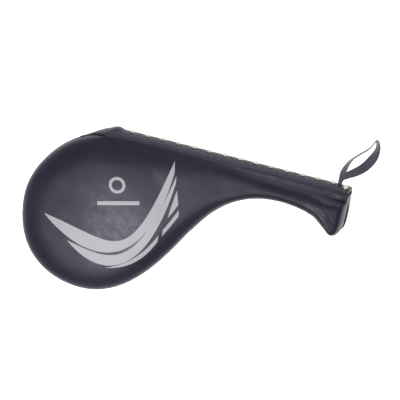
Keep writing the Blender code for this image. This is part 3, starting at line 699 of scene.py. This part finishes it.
COVER_LEATHER = leather("moulded_leather", (0.0120, 0.0104, 0.0200))
BAND_LEATHER = leather("strip_leather", (0.0250, 0.0235, 0.0350), rough=0.42, grain=1.3, sheen=0.03)
LINING_LEATHER = leather("flat_leather", (0.022, 0.021, 0.030), rough=0.56, grain=0.8)
PRINT = printed("print_ink", (0.262, 0.256, 0.280))
NICKEL = metal("worn_nickel", (0.42, 0.385, 0.33), 0.36)
RIBBON = ribbon_weave("woven_ribbon", (0.040, 0.036, 0.060))
DARK_THREAD = thread("dark_thread", (0.030, 0.028, 0.040))
PALE_THREAD = thread("pale_thread", (0.100, 0.082, 0.080))
CAD_FINISHES = {
    "lining": LINING_LEATHER,
    "stiffener": speckled("plastic_board", (0.70, 0.70, 0.66), 60, 0.45, 0.00010),
    "foam": speckled("closed_cell_foam", (0.50, 0.50, 0.45), 500, 0.85, 0.00040),
    "grip_core": speckled("core_wood", (0.42, 0.28, 0.15), 90, 0.60, 0.00015),
    "washer": speckled("washer_steel", (0.55, 0.55, 0.54), 700, 0.38, 0.00008, 1.0),
    "spine_backing": BAND_LEATHER,
    "strap_tab": RIBBON,
}


def dress_cad_nodes():
    for node, obj in frame["nodes"].items():
        for key, finish in CAD_FINISHES.items():
            if key in node:
                for slot in obj.material_slots:
                    slot.material = finish


# ---------------------------------------------------------------- the spine band


def rivet_places():
    places = [FIRST_RIVET_X + i * RIVET_PITCH for i in range(RIVETS - 1)]
    return places + [places[-1] + LAST_PITCH]


def lump_rise(x):
    """The band's folded-over end, a rounded block that drops off more steeply towards the first rivet."""
    after, before = LUMP_SIDES
    return LUMP_HEIGHT * bell(x - LUMP_X, LUMP_SPREAD * (after if x > LUMP_X else before), LUMP_POWER)


def spine_section(x):
    """The band's outer surface at x: (y, z) points from the front edge over the spine to the back edge."""
    scale = float(band_scale(x))
    edge = float(groove_y(x)) * scale
    angles = mix(pi / 2, 0.0, np.linspace(0, 1, SECTION_POINTS // 2 + 1))
    y = SPINE_REACH * np.cos(angles) ** (2 / SPINE_POWER)
    z = BAND_OUTER * np.sin(angles) ** (2 / SPINE_POWER)
    if edge > 0:
        keep = y >= edge
        y, z = np.r_[edge, y[keep]], np.r_[np.interp(edge, y, z), z[keep]]
    else:
        flat = np.linspace(edge, 0, FLAT_POINTS)[:-1]
        y, z = np.r_[flat, y], np.r_[np.full(len(flat), BAND_OUTER), z]
    path = spread(np.column_stack((y, z)), SECTION_POINTS)
    section = np.vstack((path, path[::-1][1:] * (1, -1))) * scale
    far = np.clip(-section[:, 1] / BAND_OUTER, 0, 1)
    section[:, 0] -= BACK_INSET * far * (section[:, 0] > 0)
    return section


def band_relief(x, z):
    """How far the band's leather stands out at x and at z across the spine: puckers between the rivets."""
    places = np.array(rivet_places())
    first, last = places[0], places[-1]
    nearest = np.abs(places - x).min()
    dimple = bell(nearest, DIMPLE_LENGTH) * bell(z, DIMPLE_WIDTH)
    pucker = PUCKER_HEIGHT * (nearest / (RIVET_PITCH / 2)) * bell(z, PUCKER_SPREAD) - DIMPLE_DEPTH * dimple
    inside = smooth_step(x, first - PUCKER_RUN_IN, first) * (1 - smooth_step(x, last, last + PUCKER_RUN_OUT))
    return pucker * inside


def band_folds(x, section):
    """Two sizes of small folds along the band."""
    folds = 0
    for stretch, fineness, seed, octaves, height in BAND_FOLDS:
        points = np.column_stack((np.full(len(section), x * stretch), section))
        folds = folds + field(points, fineness, seed, octaves) * height
    return folds


def make_band():
    outer_rows, inner_rows = [], []
    for x in np.linspace(SPINE_START_X, SPINE_END_X, BAND_STATIONS):
        section = spine_section(x)
        scale = float(band_scale(x))
        ways = np.gradient(section, axis=0)
        ways /= np.linalg.norm(ways, axis=1)[:, None]
        out = np.column_stack((-ways[:, 1], ways[:, 0]))
        edge_walk = np.minimum(
            np.linalg.norm(section - section[0], axis=1), np.linalg.norm(section - section[-1], axis=1)
        )
        relief = band_relief(x, section[:, 1])
        relief += float(lump_rise(x)) * bell(section[:, 1], LUMP_ACROSS * scale, LUMP_ACROSS_POWER)
        relief += band_folds(x, section) * smooth_step(edge_walk, 0.0, SEAM_INSET)
        relief -= CHANNEL_DEPTH * bell(edge_walk - SEAM_INSET, CHANNEL_WIDTH) * scale
        relief -= ROLLED_DEPTH * bell(edge_walk, ROLLED_WIDTH) * scale
        tucked = bell(edge_walk, TUCK_WIDTH) * (1 - smooth_step(x, *TUCK_SPAN)) * scale
        section = section - np.column_stack((TUCK[0] * tucked, TUCK[1] * tucked * np.sign(section[:, 1])))
        section[:, 0] += float(head_lift(x))
        outer = section + out * relief[:, None]
        inner = section - out * BAND_THICKNESS * mix(THIN_LEATHER, 1.0, scale)
        along = np.full(len(section), x)
        outer_rows.append(np.column_stack((along, outer)))
        inner_rows.append(np.column_stack((along, inner[::-1])))
    rows = [np.vstack(pair) for pair in zip(outer_rows, inner_rows)]
    end = inner_rows[-1][END_TUCK:-END_TUCK]
    plug = [np.column_stack((np.full(len(end), SPINE_END_X - inset), end[:, 1:])) for inset in END_PLUG]
    columns = len(rows[0])
    faces = tube_faces(len(rows), columns) + tube_faces(len(plug), len(end), base=len(rows) * columns)
    made = mesh_object("spine_leather_band", place(np.vstack(rows + plug)), faces, BAND_LEATHER)
    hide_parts("spine_band", "spine_front_wing", "spine_end_tab")
    blend_over_hinge(made)


def blend_over_hinge(piece):
    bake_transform(piece)


# ---------------------------------------------------------------- rivets


def wobble(*spot):
    """A repeatable number about -1 to 1 that differs from spot to spot. The spots themselves mean nothing."""
    return noise.noise(Vector(spot))


def make_rivet(number, x):
    """A dished tubular cap: a rolled rim, a low dome and a small dent in its middle."""
    is_last = number == RIVETS
    tilt = radians(CAP_TILT) * wobble(number * 1.7, 0.3, 0.1)
    lean = radians(LAST_LEAN) if is_last else radians(CAP_LEAN) * wobble(number * 2.1, 5.0, 0.7)
    turn = Matrix.Rotation(lean, 3, "X") @ Matrix.Rotation(tilt, 3, "Z")
    seat = Vector((x, PIERCED_Y + CAP_STANDOFF, LAST_RIVET_Z if is_last else 0.0))
    points = []
    for radius, height in CAP_PROFILE:
        for k in range(CAP_SIDES):
            a = 2 * pi * k / CAP_SIDES
            uneven = 1 + CAP_UNEVEN * wobble(cos(a) * 1.4 + number * 3.1, sin(a) * 1.4, radius)
            reach = CAP_RADIUS * radius * uneven
            points.append(turn @ Vector((reach * cos(a), CAP_HEIGHT * height, reach * sin(a))) + seat)
    faces = grid_faces(len(CAP_PROFILE), CAP_SIDES, closed=True)
    made = mesh_object(f"rivet_cap_{number:02d}", place(points), faces, NICKEL, 40)
    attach(made, "back_leaf")
    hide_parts(f"rivet_{number:02d}")


# ---------------------------------------------------------------- stitches


def stitch_shape():
    """A short stitch lying along +X: a rounded rod whose ends dive into the leather."""
    points = []
    for t in np.linspace(0, 1, STITCH_RINGS):
        from_middle = abs(2 * t - 1) ** STITCH_POWER
        swell = 0.5 * max((1 - from_middle) ** 0.5, STITCH_END)
        for k in range(STITCH_SIDES):
            a = 2 * pi * k / STITCH_SIDES
            points.append((t - 0.5, cos(a) * swell, sin(a) * swell - STITCH_DIVE * from_middle))
    return points, tube_faces(STITCH_RINGS, STITCH_SIDES)


STITCH_POINTS, STITCH_FACES = stitch_shape()


def stitch_row(name, starts, ends, normals, width, finish):
    """One object of stitches, each from its start to its end, with its rounded side along its normal."""
    points, faces = [], []
    for start, end, normal in zip(starts, ends, normals):
        along = end - start
        side = np.cross(normal, along)
        side /= np.linalg.norm(side)
        up = np.cross(along, side)
        up /= np.linalg.norm(up)
        base = len(points)
        centre = (start + end) / 2
        points += [centre + along * px + side * py * width + up * pz * width for px, py, pz in STITCH_POINTS]
        faces += [tuple(base + i for i in face) for face in STITCH_FACES]
    made = mesh_object(name, points, faces, finish, 80)
    return made


def walk(points, pitch, gap):
    """Start and end points of stitches at an equal pitch along a line of 3-D points."""
    steps = np.r_[0, np.cumsum(np.linalg.norm(np.diff(points, axis=0), axis=1))]
    at = np.arange(pitch * 0.5, steps[-1] - pitch, pitch)

    def sample(s):
        return np.column_stack([np.interp(s, steps, points[:, i]) for i in range(3)])

    return sample(at + gap / 2), sample(at + pitch - gap / 2)


def band_stitches(side):
    """The row of stitches along the band's edge, just inside the groove."""
    pitch, gap, width = BAND_SEAM
    line, normals = [], []
    for x in np.linspace(*BAND_SEAM_ENDS, BAND_SEAM_SAMPLES):
        section = spine_section(x)
        walked = np.r_[0, np.cumsum(np.linalg.norm(np.diff(section, axis=0), axis=1))]
        y, z = (np.interp(SEAM_INSET, walked, section[:, i]) for i in (0, 1))
        line.append((x, y + float(head_lift(x)), z - BAND_SEAM_SINK))
        normals.append((0, max(y, 0) * BAND_SEAM_TURN, z))
    starts, ends = walk(np.array(line), pitch, gap)
    ways = np.array(normals)[np.linspace(0, len(normals) - 1, len(starts)).astype(int)]
    starts, ends, ways = (rows * (1, 1, side) for rows in (starts, ends, ways))
    name = "band_stitches_front" if side > 0 else "band_stitches_back"
    made = stitch_row(name, place(starts), place(ends), ways, width, DARK_THREAD)
    if side > 0:
        blend_over_hinge(made)
    else:
        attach(made, "back_leaf")


def rim_stitches(prefix, side):
    """Stitches round the lining, where it is sewn to the moulded leather."""
    pitch, gap, width = RIM_SEAM
    points, targets = leaf_plan()
    span = targets - points
    inset = points + span / np.linalg.norm(span, axis=1)[:, None] * RIM_SEAM_INSET
    inset = inset[inset[:, 1] < RIM_SEAM_TOP]
    line = np.column_stack((inset, np.full(len(inset), RIM_SEAM_HEIGHT)))
    breaks = np.linalg.norm(np.diff(line, axis=0), axis=1) > RIM_SEAM_BREAK
    if breaks.any():
        line = line[:int(np.argmax(breaks)) + 1]
    starts, ends = (place(spots, side) for spots in walk(line, pitch, gap))
    normals = np.tile((0, 0, -side), (len(starts), 1))
    made = stitch_row(f"{prefix}_rim_stitches", starts, ends, normals, width, DARK_THREAD)
    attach(made, f"{prefix}_leaf")


def make_bartack():
    """A short dense row of pale thread that locks the band's seam by the strap."""
    starts, ends = [], []
    for i in range(TACK_STITCHES):
        x = TACK_X + i * TACK_STEP
        uneven = TACK_UNEVEN * wobble(i * 1.9, 0.2, 0.4)
        starts.append((x, TACK_TOP + uneven, BAND_OUTER + TACK_RISE))
        ends.append((x + TACK_SLANT, TACK_BOTTOM + uneven, BAND_OUTER + TACK_RISE))
    normals = np.tile((0.0, 0.0, 1.0), (TACK_STITCHES, 1))
    made = stitch_row("bar_tack", place(starts, 1), place(ends, 1), normals, TACK_WIDTH, PALE_THREAD)
    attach(made, "front_leaf")


# ---------------------------------------------------------------- the wrist strap


def smooth_route(points, count):
    """A Catmull-Rom curve through the points."""
    points = np.array(points)
    padded = np.vstack((2 * points[0] - points[1], points, 2 * points[-1] - points[-2]))
    made = []
    for at in np.linspace(0, len(points) - 1, count):
        i = min(int(at), len(points) - 2)
        t = at - i
        a, b, c, d = padded[i:i + 4]
        square = 2 * a - 5 * b + 4 * c - d
        cube = 3 * b - a - 3 * c + d
        made.append(0.5 * (2 * b + (c - a) * t + square * t**2 + cube * t**3))
    return np.array(made)


def ribbon_section(index):
    """The ribbon's section at one station, in shares of its half width and half thickness."""
    points = []
    for k in range(RIBBON_SIDES):
        a = 2 * pi * k / RIBBON_SIDES
        u = np.sign(cos(a)) * abs(cos(a)) ** RIBBON_WIDE_POWER
        v = np.sign(sin(a)) * abs(sin(a)) ** RIBBON_THIN_POWER
        rib = RIB_HEIGHT * sin(index * RIB_TURN) * (abs(u) < RIB_REACH)
        selvedge = SELVEDGE_HEIGHT * (SELVEDGE_IN < abs(u) < SELVEDGE_OUT)
        points.append((u, v * (RIBBON_BODY + rib + selvedge)))
    return points


def make_strap():
    route = smooth_route(STRAP_ROUTE, STRAP_SECTIONS)
    ways = np.gradient(route[:, :3], axis=0)
    ways /= np.linalg.norm(ways, axis=1)[:, None]
    points = []
    for index, ((x, y, z, width, twist), way) in enumerate(zip(route, ways)):
        flat = np.cross(way, (0, 0, 1))
        flat /= np.linalg.norm(flat)
        up = np.cross(flat, way)
        across = flat * cos(radians(twist)) + up * sin(radians(twist))
        normal = np.cross(way, across)
        for u, v in ribbon_section(index):
            points.append(np.array((x, y, z)) + across * u * width / 2 + normal * v * STRAP_THICKNESS / 2)
    faces = tube_faces(len(route), RIBBON_SIDES, flip=False)
    made = mesh_object("ribbon_loop", place(points), faces, RIBBON)
    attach(made, "strap")
    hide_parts("wrist_strap")


# ---------------------------------------------------------------- the print


def curve(points, count):
    """A curve from its three or four control points."""
    points = np.array(points)
    t = np.linspace(0, 1, count)[:, None]
    if len(points) == 3:
        return (1 - t) ** 2 * points[0] + 2 * t * (1 - t) * points[1] + t**2 * points[2]
    outer = (1 - t) ** 3 * points[0] + t**3 * points[3]
    return outer + 3 * t * (1 - t) ** 2 * points[1] + 3 * t * t * (1 - t) * points[2]


def ink_sheet(name, plan, faces, rims):
    """Thin ink on the front leaf over the plan's points: its top, its underside and a wall along each rim."""
    height = leaf_height(plan, 1) + creases(plan)
    points = np.vstack([np.column_stack((plan, height + offset)) for offset in (INK_HEIGHT, -INK_DEPTH)])
    total = len(plan)
    faces = faces + [tuple(total + i for i in face[::-1]) for face in faces]
    for rim in rims:
        faces += [(i, j, total + j, total + i) for i, j in zip(rim, rim[1:] + rim[:1])]
    made = mesh_object(name, place(points, 1), faces, PRINT)
    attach(made, "front_leaf")


def print_piece(name, edges, grid):
    """Ink between two edge curves."""
    across, count = grid
    top, bottom = (curve(edge, count) for edge in edges)
    plan = np.vstack([mix(top, bottom, share) for share in np.linspace(0, 1, across)])
    rim = ([(0, c) for c in range(count)] + [(r, count - 1) for r in range(1, across)]
           + [(across - 1, c) for c in range(count - 2, -1, -1)] + [(r, 0) for r in range(across - 2, 0, -1)])
    ink_sheet(name, plan, grid_faces(across, count, flip=True), [[r * count + c for r, c in rim]])


def make_ring(name):
    """A plain ring of ink."""
    across, count = RING_GRID
    angles = [2 * pi * k / count for k in range(count)]
    radii = np.linspace(RING_OUTER, RING_INNER, across)
    plan = np.array([RING_CENTRE + direction(angle) * radius for radius in radii for angle in angles])
    rims = [list(reversed(range(count))), list(range((across - 1) * count, across * count))]
    ink_sheet(name, plan, grid_faces(across, count, closed=True), rims)


def make_print():
    """Generic tapered sweeps, a ring and a plain bar."""
    for number, edges in enumerate(SWEEPS, start=1):
        print_piece(f"sweep_print_{number}", edges, SWEEP_GRID)
    for number, edges in enumerate(BLADES, start=1):
        print_piece(f"blade_print_{number}", edges, BLADE_GRID)
    make_ring("ring_print")
    along, upright = direction(SPINE_SLOPE), direction(SPINE_SLOPE + pi / 2)
    edges = [
        [RING_CENTRE + along * reach + upright * height for reach in (-BAR_HALF_LENGTH, 0.0, BAR_HALF_LENGTH)]
        for height in (BAR_TOP, BAR_BOTTOM)
    ]
    print_piece("bar_print", edges, BAR_GRID)


# ---------------------------------------------------------------- the studio


def make_camera():
    """The paddle from above its front face and a little from the spine's side, its spine sloping down."""
    way = Vector(CAMERA_WAY).normalized()
    along = Vector(IMAGE_SPINE)
    along = (along - way * along.dot(way)).normalized()
    across = way.cross(along)
    right = along * cos(SPINE_SLOPE) + across * sin(SPINE_SLOPE)
    up = way.cross(right)
    data = bpy.data.cameras.new("camera")
    data.sensor_width = SENSOR_WIDTH
    data.lens = SENSOR_WIDTH * CAMERA_DISTANCE / VIEW_WIDTH
    data.clip_start = CLIP_START
    camera = bpy.data.objects.new("camera", data)
    turn = Matrix((right, up, way)).transposed().to_4x4()
    target = Vector(place([VIEW_CENTRE])[0])
    camera.matrix_world = Matrix.Translation(target + way * CAMERA_DISTANCE) @ turn
    bpy.context.collection.objects.link(camera)
    bpy.context.scene.camera = camera


def add_lamp(name, spot, way, size, power):
    """A rectangular lamp whose back faces along the given way."""
    data = bpy.data.lights.new(name, "AREA")
    data.shape = "RECTANGLE"
    data.size, data.size_y = size
    data.energy = power
    lamp = bpy.data.objects.new(name, data)
    lamp.location = spot
    lamp.rotation_euler = way.to_track_quat("Z", "Y").to_euler()
    bpy.context.collection.objects.link(lamp)


def make_studio():
    bpy.ops.mesh.primitive_plane_add(size=FLOOR_SIZE, location=(0, 0, -FLOOR_DROP))
    floor = bpy.context.object
    floor.name = "studio_floor"
    n = Nodes("pale_floor")
    floor.data.materials.append(n.finish({
        "Base Color": n.ramp(n.noise(scale=3), [(0.3, (0.86, 0.86, 0.86)), (0.7, (0.90, 0.90, 0.90))]),
        "Roughness": 0.9, "Specular IOR Level": 0.1,
        "Emission Color": (1, 1, 1, 1), "Emission Strength": FLOOR_GLOW,
    }))
    world = bpy.data.worlds.new("studio_world")
    world.use_nodes = True
    background = world.node_tree.nodes["Background"].inputs
    background["Color"].default_value = (1.0, 1.0, 1.0, 1)
    background["Strength"].default_value = WORLD_STRENGTH
    bpy.context.scene.world = world
    way = Vector(CAMERA_WAY).normalized()
    mirrored = Vector((-way.x, -way.y, way.z))
    for name, (spot, distance, size, power) in MIRRORED_LAMPS.items():
        add_lamp(name, Vector(spot) + mirrored * distance, mirrored, size, power)
    add_lamp("back", BACK_LAMP_SPOT, Vector(BACK_LAMP_WAY), BACK_LAMP_SIZE, BACK_LAMP_POWER)
    bpy.context.scene.view_settings.view_transform = "Standard"


# ---------------------------------------------------------------- the whole


make_camera()
make_strap()
make_studio()
dress_cad_nodes()
make_leaf("front", 1)
make_leaf("back", -1)
make_band()
for rivet_number, rivet_x in enumerate(rivet_places(), start=1):
    make_rivet(rivet_number, rivet_x)
band_stitches(1)
band_stitches(-1)
rim_stitches("front", 1)
rim_stitches("back", -1)
make_bartack()
make_print()
